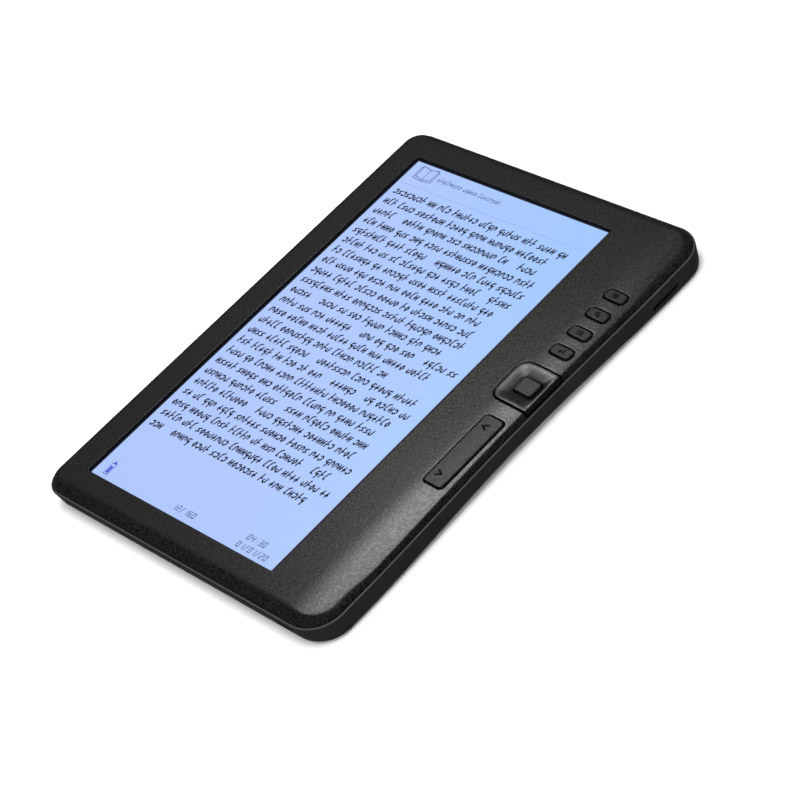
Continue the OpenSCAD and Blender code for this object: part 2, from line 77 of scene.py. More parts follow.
# The same shape values as the CAD source, in millimetres
LEFT_R = 7.5
RIGHT_R = 11.5
WAIST = 1.2
WAIST_HALF = 70.0
WALL = 1.6
SCOOP = 3.0
TUCK = 0.65  # how far the wall leans in from the rim to the back
TUCK_LOWER = 1.85
SCOOP_RISE = 0.7  # height of the scooped edge as a share of how far it is drawn in
SHOULDER = 0.7  # height of the rounding under the rim
SHOULDER_RUN = 0.3
SHOULDER_Z = RIM_Z - SHOULDER
RIM_W = 0.6
RIM_EASE = 0.06  # bevel on the rim's inner edge
CROWN_START = 49.9
CROWN_R = 76.0
ROLL_RUN = 4.0
ROLL_RUN_RIGHT = 5.0
ROLL_RUN_KEYS = 2.3
ROLL_R = ROLL_RUN * 25 / 24
STEEP_TOP = (46.0, 26.0)  # where the steep edge beside the keys ends above them, and its fade
STEEP_BOTTOM = (-61.0, 15.0)
PLATE_Z = FACE_Z - 1.7
SKIRT_INSET = BEZEL_INSET + 1.2
KEY_GAP = 0.5
KEY_RISE = 0.35
PAD_RISE = 0.3
SELECT_RISE = 0.15
FLANGE = 0.8  # width of the hidden flange round a key
ROCKER_FLANGE = (FLANGE, 0.5)
POST_R = 0.9
KEY_CORNER_R = 1.2
PAD_CORNER_R = 4.0
STEP = 0.02  # width of a step between two levels of one plate

PANEL_MARGIN = 2.0  # dark border between the edge of the polariser and the page
PAGE_X = (PANEL_LOW[0] + PANEL_HIGH[0]) / 2
PAGE_Y = (PANEL_LOW[1] + PANEL_HIGH[1]) / 2
PAGE_W = PANEL_HIGH[0] - PANEL_LOW[0] - 2 * PANEL_MARGIN
PAGE_L = PANEL_HIGH[1] - PANEL_LOW[1] - 2 * PANEL_MARGIN


# ------------------------------------------------------------------ materials

def principled(name, colour, roughness, metallic=0.0, specular=0.5):
    """A new material, with its shader node."""
    material = bpy.data.materials.new(name)
    material.use_nodes = True
    shader = material.node_tree.nodes["Principled BSDF"]
    shader.inputs["Base Color"].default_value = (*colour, 1)
    shader.inputs["Roughness"].default_value = roughness
    shader.inputs["Metallic"].default_value = metallic
    shader.inputs["Specular IOR Level"].default_value = specular
    return material, shader


def noise(material, size, detail=2.0, stretch=(1, 1, 1)):
    """Noise output whose features are about size millimetres across."""
    tree = material.node_tree
    place = tree.nodes.new("ShaderNodeTexCoord")
    scale = tree.nodes.new("ShaderNodeMapping")
    scale.inputs["Scale"].default_value = tuple(s / (size * MM) for s in stretch)
    tree.links.new(place.outputs["Object"], scale.inputs["Vector"])
    field = tree.nodes.new("ShaderNodeTexNoise")
    field.inputs["Scale"].default_value = 1.0
    field.inputs["Detail"].default_value = detail
    tree.links.new(scale.outputs["Vector"], field.inputs["Vector"])
    return field.outputs["Fac"]


def remap(material, value, low, high, start=0.3, end=0.7):
    """Spreads a noise value between two numbers."""
    tree = material.node_tree
    node = tree.nodes.new("ShaderNodeMapRange")
    node.inputs["From Min"].default_value = start
    node.inputs["From Max"].default_value = end
    node.inputs["To Min"].default_value = low
    node.inputs["To Max"].default_value = high
    tree.links.new(value, node.inputs["Value"])
    return node.outputs["Result"]


def blend_colours(material, value, first, second, start=0.35, end=0.65):
    """Colour that goes from first to second with a noise value."""
    tree = material.node_tree
    ramp = tree.nodes.new("ShaderNodeValToRGB")
    ramp.color_ramp.elements[0].position = start
    ramp.color_ramp.elements[0].color = (*first, 1)
    ramp.color_ramp.elements[1].position = end
    ramp.color_ramp.elements[1].color = (*second, 1)
    tree.links.new(value, ramp.inputs["Fac"])
    return ramp.outputs["Color"]


def bump(material, shader, layers):
    """Stacks bumps, each a noise value with its height in millimetres."""
    tree = material.node_tree
    last = None
    for value, height in layers:
        node = tree.nodes.new("ShaderNodeBump")
        node.inputs["Distance"].default_value = height * MM
        tree.links.new(value, node.inputs["Height"])
        if last:
            tree.links.new(last, node.inputs["Normal"])
        last = node.outputs["Normal"]
    tree.links.new(last, shader.inputs["Normal"])


def surface(name, dark, light, rough, grain, height, metallic=0.0, specular=0.5, blotch=9.0,
            stretch=(1, 1, 1)):
    """Material with two colours in broad patches, uneven gloss and a fine grain."""
    material, shader = principled(name, dark, rough[0], metallic, specular)
    tree = material.node_tree
    patches = noise(material, blotch, 4.0)
    fine = noise(material, grain, 3.0, stretch)
    coarse = noise(material, 2.6 * grain, 2.0, stretch)
    tree.links.new(blend_colours(material, patches, dark, light), shader.inputs["Base Color"])
    tree.links.new(remap(material, coarse, *rough), shader.inputs["Roughness"])
    bump(material, shader, [(coarse, 1.6 * height), (fine, height)])
    return material


def grey(level, tint=(1, 1, 1)):
    return tuple(level * t for t in tint)


def speckled(material, size, dark, light):
    """Fine pale flecks over the base colour, as in a spark-eroded mould's grain."""
    tree = material.node_tree
    shader = tree.nodes["Principled BSDF"]
    flecks = tree.nodes.new("ShaderNodeMix")
    flecks.data_type = "RGBA"
    flecks.blend_type = "ADD"
    flecks.inputs["Factor"].default_value = 1.0
    tree.links.new(shader.inputs["Base Color"].links[0].from_socket, flecks.inputs["A"])
    grains = noise(material, size, 1.0)
    tree.links.new(blend_colours(material, grains, grey(dark), grey(light), 0.38, 0.66), flecks.inputs["B"])
    tree.links.new(flecks.outputs["Result"], shader.inputs["Base Color"])


def painted_rim_highlight_above(material, z, colour, fade=0.1):
    """Paler colour above a height: a painted highlight along the rim's top edge, standing in for the light
    that the rim catches.
    """
    tree = material.node_tree
    shader = tree.nodes["Principled BSDF"]
    place = tree.nodes.new("ShaderNodeTexCoord")
    split = tree.nodes.new("ShaderNodeSeparateXYZ")
    tree.links.new(place.outputs["Object"], split.inputs["Vector"])
    highlight_mix = tree.nodes.new("ShaderNodeMix")
    highlight_mix.data_type = "RGBA"
    tree.links.new(remap(material, split.outputs["Z"], 0, 1, (z - fade) * MM, z * MM), highlight_mix.inputs["Factor"])
    tree.links.new(shader.inputs["Base Color"].links[0].from_socket, highlight_mix.inputs["A"])
    highlight_mix.inputs["B"].default_value = (*colour, 1)
    tree.links.new(highlight_mix.outputs["Result"], shader.inputs["Base Color"])


BEZEL_PLASTIC = surface("bezel_plastic", grey(0.0005), grey(0.001), (0.24, 0.32), 0.38, 0.017)
speckled(BEZEL_PLASTIC, 0.5, 0.0, 0.010)
COVER_PLASTIC = surface("cover_plastic", grey(0.0105), grey(0.0135), (0.3, 0.4), 0.4, 0.006, specular=0.3)
# painted highlight: the rim's top edge is given a paler colour to stand in for the light it catches
painted_rim_highlight_above(COVER_PLASTIC, RIM_Z - 0.15, grey(0.04))
KEY_PLASTIC = surface("key_plastic", grey(0.001), grey(0.002), (0.34, 0.44), 0.38, 0.014, specular=0.32)
speckled(KEY_PLASTIC, 0.5, 0.0, 0.010)
PAD_PLASTIC = surface("pad_plastic", grey(0.002), grey(0.003), (0.27, 0.36), 0.38, 0.005, specular=0.6)
MARK_PAINT = surface("mark_paint", grey(0.001), grey(0.002), (0.6, 0.75), 0.12, 0.002, specular=0.08)
PANEL_GLASS = surface("panel_glass", (0.003, 0.004, 0.007), (0.005, 0.006, 0.010), (0.16, 0.24), 0.4, 0.0005)
STEEL = surface("steel", grey(0.42, (1, 1, 1.02)), grey(0.52), (0.26, 0.4), 0.15, 0.002, metallic=1.0)
BLACK_SCREW = surface("black_screw", grey(0.03), grey(0.05), (0.32, 0.5), 0.12, 0.004, metallic=0.6)
INK = surface("page_ink", (0.012, 0.014, 0.040), (0.018, 0.020, 0.055), (0.4, 0.5), 0.3, 0.0005)
BLUE_INK = surface("page_blue_ink", (0.03, 0.03, 0.34), (0.05, 0.05, 0.42), (0.4, 0.5), 0.3, 0.0005)
PALE_INK = surface("page_pale_ink", (0.055, 0.08, 0.19), (0.07, 0.10, 0.23), (0.4, 0.5), 0.3, 0.0005)

HIDDEN_FINISHES = {
    "lit_page": ((0.004, 0.004, 0.006), (0.008, 0.008, 0.012), (0.2, 0.3), 0.0),
    "lcd_glass": ((0.020, 0.026, 0.030), (0.030, 0.036, 0.040), (0.08, 0.16), 0.0),
    "film": (grey(0.75), grey(0.82), (0.3, 0.45), 0.0),
    "light_guide": ((0.62, 0.70, 0.72), (0.70, 0.78, 0.80), (0.08, 0.2), 0.0),
    "led": ((0.80, 0.70, 0.30), (0.90, 0.82, 0.45), (0.3, 0.45), 0.0),
    "flex": ((0.34, 0.13, 0.03), (0.46, 0.19, 0.05), (0.25, 0.4), 0.0),
    "foam": (grey(0.015), grey(0.03), (0.85, 0.95), 0.0),
    "rubber": (grey(0.03), grey(0.045), (0.6, 0.75), 0.0),
    "board": ((0.004, 0.035, 0.012), (0.007, 0.055, 0.018), (0.3, 0.42), 0.0),
    "chip": (grey(0.012), grey(0.022), (0.45, 0.6), 0.0),
    "coil": (grey(0.05), grey(0.09), (0.5, 0.7), 0.3),
    "socket_plastic": ((0.55, 0.51, 0.42), (0.68, 0.64, 0.55), (0.35, 0.5), 0.0),
    "black_nylon": (grey(0.010), grey(0.016), (0.4, 0.55), 0.0),
    "pouch": (grey(0.30), grey(0.42), (0.3, 0.45), 0.8),
    "tape": ((0.60, 0.55, 0.40), (0.72, 0.67, 0.52), (0.4, 0.55), 0.0),
    "wire": ((0.36, 0.02, 0.015), (0.50, 0.04, 0.02), (0.35, 0.5), 0.0),
}
FINISHES = {
    "bezel_plastic": BEZEL_PLASTIC,
    "cover_plastic": COVER_PLASTIC,
    "key_plastic": KEY_PLASTIC,
    "steel": STEEL,
    "black_screw": BLACK_SCREW,
}
for slot_name, (dark, light, rough, metallic) in HIDDEN_FINISHES.items():
    FINISHES[slot_name] = surface(slot_name + "_finish", dark, light, rough, 0.15, 0.004, metallic=metallic)


PAGE_WARM = (0.41, 0.55, 0.94)
PAGE_COOL = (0.33, 0.55, 0.96)


def lit_page_material():
    """Glowing page, a little paler towards its lower left corner."""
    material, shader = principled("page_light", (0.01, 0.012, 0.02), 0.3)
    tree = material.node_tree
    place = tree.nodes.new("ShaderNodeTexCoord")
    across = tree.nodes.new("ShaderNodeVectorMath")
    across.operation = "DOT_PRODUCT"
    across.inputs[1].default_value = (0.55 / (PAGE_W * MM), 0.45 / (PAGE_L * MM), 0)
    tree.links.new(place.outputs["Object"], across.inputs[0])
    wave = noise(material, 45, 1.0)
    mixed = tree.nodes.new("ShaderNodeMath")
    mixed.operation = "MULTIPLY_ADD"
    mixed.inputs[1].default_value = 0.25
    tree.links.new(wave, mixed.inputs[0])
    tree.links.new(across.outputs["Value"], mixed.inputs[2])
    glow = blend_colours(material, mixed.outputs["Value"], PAGE_WARM, PAGE_COOL, 0, 0.6)
    tree.links.new(glow, shader.inputs["Emission Color"])
    shader.inputs["Emission Strength"].default_value = 1.0
    return material


PAGE_LIGHT = lit_page_material()


# -------------------------------------------------------------- mesh building

def add_piece(name, vertices, faces, material, body, replaces=(), crease=38):
    """Makes a mesh piece from millimetre vertices and hangs it on its CAD body."""
    mesh = bpy.data.meshes.new(name)
    mesh.from_pydata((np.asarray(vertices) * MM).tolist(), [], [tuple(map(int, f)) for f in faces])
    mesh.validate()
    mesh.polygons.foreach_set("use_smooth", [True] * len(mesh.polygons))
    mesh.set_sharp_from_angle(angle=math.radians(crease))
    mesh.materials.append(material)
    piece = bpy.data.objects.new(name, mesh)
    bpy.context.scene.collection.objects.link(piece)
    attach(piece, body)
    if replaces:
        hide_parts(*replaces)
    return piece


def quarter(centre, r, start, steps):
    """A quarter circle as rows of x, y and outward direction."""
    turn = np.radians(start + 90 * np.arange(steps + 1) / steps)
    out = np.stack([np.cos(turn), np.sin(turn)], 1)
    return np.hstack([np.asarray(centre) + r * out, out])


def closed_outline(corners, spacing):
    """Rounded outline, anticlockwise from the lower right. A corner is (centre, radius, arc steps)."""
    rows = []
    for k, (centre, r, steps) in enumerate(corners):
        rows.append(quarter(centre, r, 90 * k - 90, steps))
        next_centre, next_r, _ = corners[(k + 1) % 4]
        out = rows[-1][-1, 2:]
        start = rows[-1][-1, :2]
        end = np.asarray(next_centre) + next_r * out
        count = max(1, round(float(np.hypot(*(end - start))) / spacing))
        share = np.arange(1, count)[:, None] / count
        rows.append(np.hstack([start + (end - start) * share, np.tile(out, (count - 1, 1))]))
    return np.vstack(rows)


class Plan:
    """A rectangle with one corner radius on its left side and one on its right."""

    def __init__(self, centre, size, left_r, right_r=None):
        self.centre = np.asarray(centre, float)
        self.size = np.asarray(size, float)
        self.left_r = left_r
        self.right_r = left_r if right_r is None else right_r

    def outside(self, x, y):
        """Distance out from the outline, below zero inside it."""
        r = np.where(x < self.centre[0], self.left_r, self.right_r)
        qx = np.abs(x - self.centre[0]) - self.size[0] / 2 + r
        qy = np.abs(y - self.centre[1]) - self.size[1] / 2 + r
        corner = np.hypot(np.maximum(qx, 0), np.maximum(qy, 0))
        return corner + np.minimum(np.maximum(qx, qy), 0) - r

    def loop(self, grow=0.0, spacing=1.0, steps=8):
        """Its outline grown by a distance."""
        corners = []
        for side_x, side_y in ((1, -1), (1, 1), (-1, 1), (-1, -1)):
            r = self.right_r if side_x > 0 else self.left_r
            middle = self.centre + [side_x * (self.size[0] / 2 - r), side_y * (self.size[1] / 2 - r)]
            corners.append((middle, max(r + grow, 0.01), steps))
        return closed_outline(corners, spacing)[:, :2]


def plan_of_box(node, margin, r):
    """Plan of a CAD node's box drawn in by a margin on each side."""
    low, high = box_mm(node)
    centre = (low[:2] + high[:2]) / 2
    return Plan(centre, high[:2] - low[:2] - 2 * np.asarray(margin), r)


def lifted(loops, spots, inside, top, bottom):
    """Closed solid over a plan: the plan is cut into triangles, then lifted to a top and a bottom height."""
    points = []
    edges = []
    for loop in loops:
        start = len(points)
        count = len(loop)
        points.extend(loop)
        edges.extend((start + i, start + (i + 1) % count) for i in range(count))
    points.extend(spots)
    made = delaunay_2d_cdt([Vector(p) for p in points], edges, [], 0, 1e-4, False)
    plan = np.array([tuple(v) for v in made[0]])
    triangles = np.array(made[2])
    middle = plan[triangles].mean(axis=1)
    triangles = triangles[inside(middle[:, 0], middle[:, 1])]
    a, b, c = (plan[triangles[:, k]] for k in range(3))
    turn = (b[:, 0] - a[:, 0]) * (c[:, 1] - a[:, 1]) - (b[:, 1] - a[:, 1]) * (c[:, 0] - a[:, 0])
    triangles[turn < 0] = triangles[turn < 0][:, ::-1]
    used, triangles = np.unique(triangles, return_inverse=True)
    triangles = triangles.reshape(-1, 3)
    x, y = plan[used].T
    count = len(used)
    vertices = np.vstack([np.stack([x, y, top(x, y)], 1), np.stack([x, y, bottom(x, y)], 1)])
    sides = {(int(t[k]), int(t[(k + 1) % 3])) for t in triangles for k in range(3)}
    walls = [(i, i + count, j + count, j) for i, j in sorted(sides) if (j, i) not in sides]
    return vertices, [*triangles, *(triangles[:, ::-1] + count), *walls]


def grid(low, high, step):
    """Points in staggered rows over a rectangle."""
    rows = []
    for k, y in enumerate(np.arange(low[1], high[1], step * 0.87)):
        x = np.arange(low[0] + (k % 2) * step / 2, high[0], step)
        rows.append(np.stack([x, np.full_like(x, y)], 1))
    return np.vstack(rows)


def fillet_drop(inside, r):
    """How far a rounded edge has dropped at a distance in from it."""
    reach = np.clip(r - inside, 0, r)
    return r - np.sqrt(r * r - reach * reach)


def fillet_insets(r, steps=6):
    """Distances in from an edge that follow its rounding evenly."""
    return [r * (1 - math.sin(math.pi / 2 * k / steps)) for k in range(steps, -1, -1)]


# -------------------------------------------------------------- housing shape

def waist_fade(y):
    return np.where(np.abs(y) < WAIST_HALF, (1 - (y / WAIST_HALF) ** 2) ** 2, 0)


def key_fade(y):
    above = (y - STEEP_TOP[0]) / STEEP_TOP[1]
    below = (STEEP_BOTTOM[0] - y) / STEEP_BOTTOM[1]
    t = np.clip(np.maximum(above, below), 0, 1)
    return 1 - t * t * (3 - 2 * t)


def case_outline():
    """Outline of the case's rim, each point with its outward direction."""
    corners = []
    for side_x, side_y in ((1, -1), (1, 1), (-1, 1), (-1, -1)):
        r = RIGHT_R if side_x > 0 else LEFT_R
        corners.append(((side_x * (HALF_W - r), MIDDLE_Y + side_y * (HALF_L - r)), r, 20))
    rows = closed_outline(corners, 2.0)
    flank = rows[:, 2] > 0.9999
    rows[flank, 0] -= WAIST * waist_fade(rows[flank, 1])
    return rows


OUTLINE = case_outline()
RIGHTNESS = np.maximum(OUTLINE[:, 2], 0)


def ring(inset):
    """The outline drawn in by a distance, which may differ from point to point."""
    return OUTLINE[:, :2] - OUTLINE[:, 2:] * np.reshape(inset, (-1, 1))


def edge_inset(x, y):
    """Distance in from the outline, and how far the nearest edge faces right."""
    right = HALF_W - WAIST * waist_fade(y) - x
    along_y = y - MIDDLE_Y
    sides = np.stack([right, x + HALF_W, HALF_L - along_y, along_y + HALF_L])
    inset = sides.min(axis=0)
    rightness = np.where(sides.argmin(axis=0) == 0, 1.0, 0.0)
    for side_x, r in ((1, RIGHT_R), (-1, LEFT_R)):
        along = side_x * x - (HALF_W - r)
        up = np.abs(along_y) - (HALF_L - r)
        reach = np.hypot(along, up)
        corner = (along > 0) & (up > 0)
        inset = np.where(corner, r - reach, inset)
        if side_x > 0:
            rightness = np.where(corner, along / np.maximum(reach, 1e-9), rightness)
    return inset, rightness


def roll_run(rightness, y):
    right_run = ROLL_RUN_RIGHT + (ROLL_RUN_KEYS - ROLL_RUN_RIGHT) * key_fade(y)
    return ROLL_RUN + (right_run - ROLL_RUN) * rightness


def crown_drop(x):
    over = np.maximum(x - CROWN_START, 0)
    return CROWN_R - np.sqrt(CROWN_R ** 2 - over ** 2)


def face_height(x, y):
    """Height of the front face, with its rolled edge and its fall towards the right."""
    inset, rightness = edge_inset(x, y)
    depth = 1 - (inset - BEZEL_INSET) / roll_run(rightness, y)
    sine = np.clip(depth, 0, 1) * ROLL_RUN / ROLL_R
    roll = ROLL_R * (1 - np.sqrt(1 - sine ** 2))
    sharpness = 7
    return FACE_Z - (roll ** sharpness + crown_drop(x) ** sharpness) ** (1 / sharpness)


# ------------------------------------------------------------------ key plans

SMALL_KEY_NAMES = ("menu_key", "zoom_key", "view_key", "back_key")
SMALL_KEYS = {name: plan_of_box(name, FLANGE, KEY_CORNER_R) for name in SMALL_KEY_NAMES}
ROCKER = plan_of_box("page_rocker", ROCKER_FLANGE, KEY_CORNER_R)
SELECT = plan_of_box("select_key", 0, 1.0)
PAD_LOW, PAD_HIGH = box_mm("dpad_ring")
PAD_LEFT = PAD_LOW[0] + FLANGE
PAD_RIGHT = PAD_HIGH[0]
PAD_L = PAD_HIGH[1] - PAD_LOW[1] - 2 * FLANGE
PAD_Y = (PAD_LOW[1] + PAD_HIGH[1]) / 2
PAD = Plan(((PAD_LEFT + PAD_RIGHT) / 2, PAD_Y), (PAD_RIGHT - PAD_LEFT, PAD_L), PAD_CORNER_R, 0.5)
PAD_HOLE = Plan(SELECT.centre, SELECT.size + 0.7, 1.2)

WINDOW_SIDE = 1.1
WINDOW_TOP = 0.9
WINDOW_BOTTOM = 0.4
WINDOW = Plan(
    (PAGE_X, PAGE_Y + (WINDOW_TOP - WINDOW_BOTTOM) / 2),
    (PAGE_W + 2 * WINDOW_SIDE, PAGE_L + WINDOW_TOP + WINDOW_BOTTOM),
    1.2,
)


def key_opening(plan):
    return Plan(plan.centre, plan.size + 2 * KEY_GAP, plan.left_r + KEY_GAP)


PAD_REACH = HALF_W + 5  # the notch for the pad is open past the right edge
PAD_NOTCH = Plan(
    ((PAD_LEFT - KEY_GAP + PAD_REACH) / 2, PAD_Y),
    (PAD_REACH - PAD_LEFT + KEY_GAP, PAD_L + 2 * KEY_GAP),
    PAD_CORNER_R + KEY_GAP,
    1.0,
)
OPENINGS = [WINDOW, PAD_NOTCH, key_opening(ROCKER), *map(key_opening, SMALL_KEYS.values())]


# --------------------------------------------------------------- front bezel

LIP_R = 0.18
POCKET = Plan(
    (TRAY_LOW[:2] + TRAY_HIGH[:2]) / 2,
    TRAY_HIGH[:2] - TRAY_LOW[:2] + 0.4,
    0.3,
)


def opening_gap(x, y):
    """Distance from the nearest opening in the bezel."""
    return np.min([plan.outside(x, y) for plan in OPENINGS], axis=0)


def bezel_top(x, y):
    return face_height(x, y) - fillet_drop(opening_gap(x, y), LIP_R)


def bezel_underside(x, y):
    inset, _ = edge_inset(x, y)
    under = np.where(POCKET.outside(x, y) < 0, LIP_Z, PLATE_Z)
    return np.where(inset < SKIRT_INSET, FOOT_Z, under)


def in_bezel(x, y):
    return (edge_inset(x, y)[0] > BEZEL_INSET) & (opening_gap(x, y) > 0)


def front_bezel():
    runs = roll_run(RIGHTNESS, OUTLINE[:, 1])
    steepest = math.asin(ROLL_RUN / ROLL_R)
    turns = [steepest * k / 12 for k in range(12, -1, -1)]
    loops = [ring(BEZEL_INSET + runs * (1 - math.sin(a) * ROLL_R / ROLL_RUN)) for a in turns]
    loops.append(ring(BEZEL_INSET + runs + 0.5))
    loops += [ring(SKIRT_INSET + side * STEP / 2) for side in (-1, 1)]
    loops += [POCKET.loop(side * STEP / 2, 4.0) for side in (-1, 1)]
    for plan in OPENINGS:
        spacing = 3.0 if plan is WINDOW else 0.7
        loops += [plan.loop(inset, spacing) for inset in [*fillet_insets(LIP_R), LIP_R + 0.35]]
    spots = grid((CROWN_START, MIDDLE_Y - HALF_L), (HALF_W, MIDDLE_Y + HALF_L), 1.3)
    x, y = spots.T
    inset, rightness = edge_inset(x, y)
    clear = (inset > BEZEL_INSET + roll_run(rightness, y) + 0.9) & (opening_gap(x, y) > LIP_R + 0.7)
    vertices, faces = lifted(loops, spots[clear], in_bezel, bezel_top, bezel_underside)
    add_piece("bezel_shell", vertices, faces, BEZEL_PLASTIC, "case", ["front_bezel"])


front_bezel()


# ---------------------------------------------------------------- rear cover

def lean(z):
    """How far the wall stands in from the rim at a height, for each outline point."""
    lowerness = np.maximum(-OUTLINE[:, 3], 0) ** 2
    return (TUCK + (TUCK_LOWER - TUCK) * lowerness) * np.maximum(1 - z / SHOULDER_Z, 0)


def rear_rings():
    """Rings up the outside of the cover, over its rim and down the inside."""
    scoop = SCOOP * RIGHTNESS * waist_fade(OUTLINE[:, 1])
    flat = np.zeros(len(OUTLINE))
    rows = []
    for k in range(13):
        a = math.pi / 2 * k / 12
        rows.append(((WALL + scoop) * (1 - math.sin(a)), (WALL + SCOOP_RISE * scoop) * (1 - math.cos(a))))
    for share in (0.35, 0.7):
        straight = SHOULDER_Z - WALL - SCOOP_RISE * scoop
        rows.append((flat, WALL + SCOOP_RISE * scoop + share * straight))
    for k in range(7):
        b = math.pi / 2 * k / 6
        rows.append((flat + SHOULDER_RUN * (1 - math.cos(b)), flat + SHOULDER_Z + SHOULDER * math.sin(b)))
    ledge_z = FOOT_Z - 0.1
    for inset, z in ((RIM_W - RIM_EASE, RIM_Z), (RIM_W, RIM_Z - RIM_EASE), (RIM_W, ledge_z)):
        rows.append((flat + inset, flat + z))
    rows.append((flat + WALL, flat + ledge_z))
    rows.append((flat + WALL, WALL + 0.8 + 0.5 * scoop))
    rows.append((WALL + 0.6 * scoop, flat + WALL))
    return [np.column_stack([ring(inset + lean(z)), z]) for inset, z in rows]


def skin(rings):
    """Closed solid through rings of equal length, with flat ends."""
    count = len(rings[0])
    faces = [tuple(range(count))[::-1]]
    for k in range(len(rings) - 1):
        for i in range(count):
            j = (i + 1) % count
            faces.append((k * count + i, k * count + j, (k + 1) * count + j, (k + 1) * count + i))
    faces.append(tuple((len(rings) - 1) * count + i for i in range(count)))
    return np.vstack(rings), faces


def islands(node):
    """Centres of the separate solids in a CAD node, seen from above, in millimetres."""
    mesh = frame["nodes"][node].data
    centres = []
    groups = {}
    for v in mesh.vertices:
        key = tuple(round(c / MM, 3) for c in v.co)
        groups.setdefault(key, []).append(v.index)
    spot_of = {i: key for key, members in groups.items() for i in members}
    links = {key: set() for key in groups}
    for edge in mesh.edges:
        a, b = (spot_of[i] for i in edge.vertices)
        links[a].add(b)
        links[b].add(a)
    left = set(groups)
    while left:
        found = {left.pop()}
        front = list(found)
        while front:
            for near in links[front.pop()]:
                if near in left:
                    left.discard(near)
                    found.add(near)
                    front.append(near)
        spread = np.array(sorted(found))
        centres.append((spread.min(axis=0) + spread.max(axis=0)) / 2)
    return sorted(map(tuple, centres))


def tunnel(plan, place, flare=0.25, reach=4.0, depth=3.0):
    """Cutter with a flared mouth. place turns (across, up, outwards) into x, y, z."""
    levels = ((reach, flare), (0.0, flare), (-flare, 0.0), (-depth, 0.0))
    rings = []
    for out, grow in levels:
        flat = plan.loop(grow, 1.0, 8)
        rings.append(np.array([place(across, up, out) for across, up in flat]))
    return rings


USB_MOUTH = (8.8, 3.1)
CARD_SLOT = (12.4, 1.5)
CARD_DROP = 1.1  # from the top of the card socket down to the middle of the slot
KNOB_SIZE = (4.8, 2.2)
KNOB_THROW = 2.0
PIN_HOLE = 1.2
JACK_HOLE = 4.9
SCREW_HOLE = 3.6


def bore(across, up, size):
    """Plan of a round hole, with its arcs just short of meeting."""
    return Plan((across, up), (size, size), size / 2 - 0.01)


def side_tunnels():
    """Cutters for the sockets, the switch, the pin hole and the screw holes."""
    usb_low, usb_high = box_mm("usb_socket")
    usb = (usb_low + usb_high) / 2
    pin_low, pin_high = box_mm("reset_plunger")
    pin = (pin_low + pin_high) / 2
    card_low, card_high = box_mm("card_socket")
    jack_low, jack_high = box_mm("headphone_jack")
    jack = (jack_low + jack_high) / 2
    knob_low, knob_high = box_mm("power_knob")
    knob = (knob_low + knob_high) / 2
    card_y = (card_low[1] + card_high[1]) / 2
    knob_slot = (KNOB_SIZE[0] + KNOB_THROW, KNOB_SIZE[1])
    leaning = lambda u: 1 - u / SHOULDER_Z
    below = lambda a, u, o: (a, MIDDLE_Y - HALF_L + TUCK_LOWER * leaning(u) - o, u)
    above = lambda a, u, o: (-a, MIDDLE_Y + HALF_L - TUCK * leaning(u) + o, u)
    right = lambda a, u, o: (HALF_W - TUCK * leaning(u) + o, a, u)
    under = lambda a, u, o: (a, -u, -o)
    cutters = [
        tunnel(Plan((usb[0], usb[2]), USB_MOUTH, 1.0), below),
        tunnel(bore(pin[0], pin[2], PIN_HOLE), below, 0.15),
        tunnel(Plan((card_y, card_high[2] - CARD_DROP), CARD_SLOT, 0.7), right),
        tunnel(bore(-jack[0], jack[2], JACK_HOLE), above, 0.3),
        tunnel(Plan((-knob[0] - KNOB_THROW / 2, knob[2]), knob_slot, 0.8), above, 0.2),
    ]
    for x, y, _ in islands("case_screws"):
        cutters.append(tunnel(bore(x, -y, SCREW_HOLE), under, 0.2, 1.0, WALL - 0.05))
    return cutters


def cut(name, rings, cutters):
    """Mesh of a skin with cutters taken away."""
    def plain(label, parts):
        vertices = []
        faces = []
        for part in parts:
            points, sides = skin(part)
            faces.extend(tuple(i + len(vertices) for i in side) for side in sides)
            vertices.extend(points.tolist())
        mesh = bpy.data.meshes.new(label)
        mesh.from_pydata((np.array(vertices) * MM).tolist(), [], faces)
        body = bpy.data.objects.new(label, mesh)
        bpy.context.scene.collection.objects.link(body)
        bpy.context.view_layer.objects.active = body
        for other in bpy.context.selected_objects:
            other.select_set(False)
        body.select_set(True)
        bpy.ops.object.mode_set(mode="EDIT")
        bpy.ops.mesh.select_all(action="SELECT")
        bpy.ops.mesh.normals_make_consistent(inside=False)
        bpy.ops.object.mode_set(mode="OBJECT")
        return body

    body = plain(name, [rings])
    tool = plain(name + "_cutters", cutters)
    boolean = body.modifiers.new("cut", "BOOLEAN")
    boolean.operation = "DIFFERENCE"
    boolean.solver = "EXACT"
    boolean.object = tool
    scene_graph = bpy.context.evaluated_depsgraph_get()
    mesh = bpy.data.meshes.new_from_object(body.evaluated_get(scene_graph))
    bpy.data.objects.remove(tool)
    bpy.data.objects.remove(body)
    vertices = np.array([tuple(v.co) for v in mesh.vertices]) / MM
    faces = [tuple(p.vertices) for p in mesh.polygons]
    return vertices, faces


def rear_cover():
    vertices, faces = cut("cover_blank", rear_rings(), side_tunnels())
    piece = add_piece("cover_shell", vertices, faces, COVER_PLASTIC, "case", ["rear_cover"])
    weight = piece.modifiers.new("even_shading", "WEIGHTED_NORMAL")
    weight.keep_sharp = True


rear_cover()


# ----------------------------------------------------------------------- keys

def circle(centre, r, steps=24):
    turn = 2 * np.pi * np.arange(steps) / steps
    return np.stack([centre[0] + r * np.cos(turn), centre[1] + r * np.sin(turn)], 1)


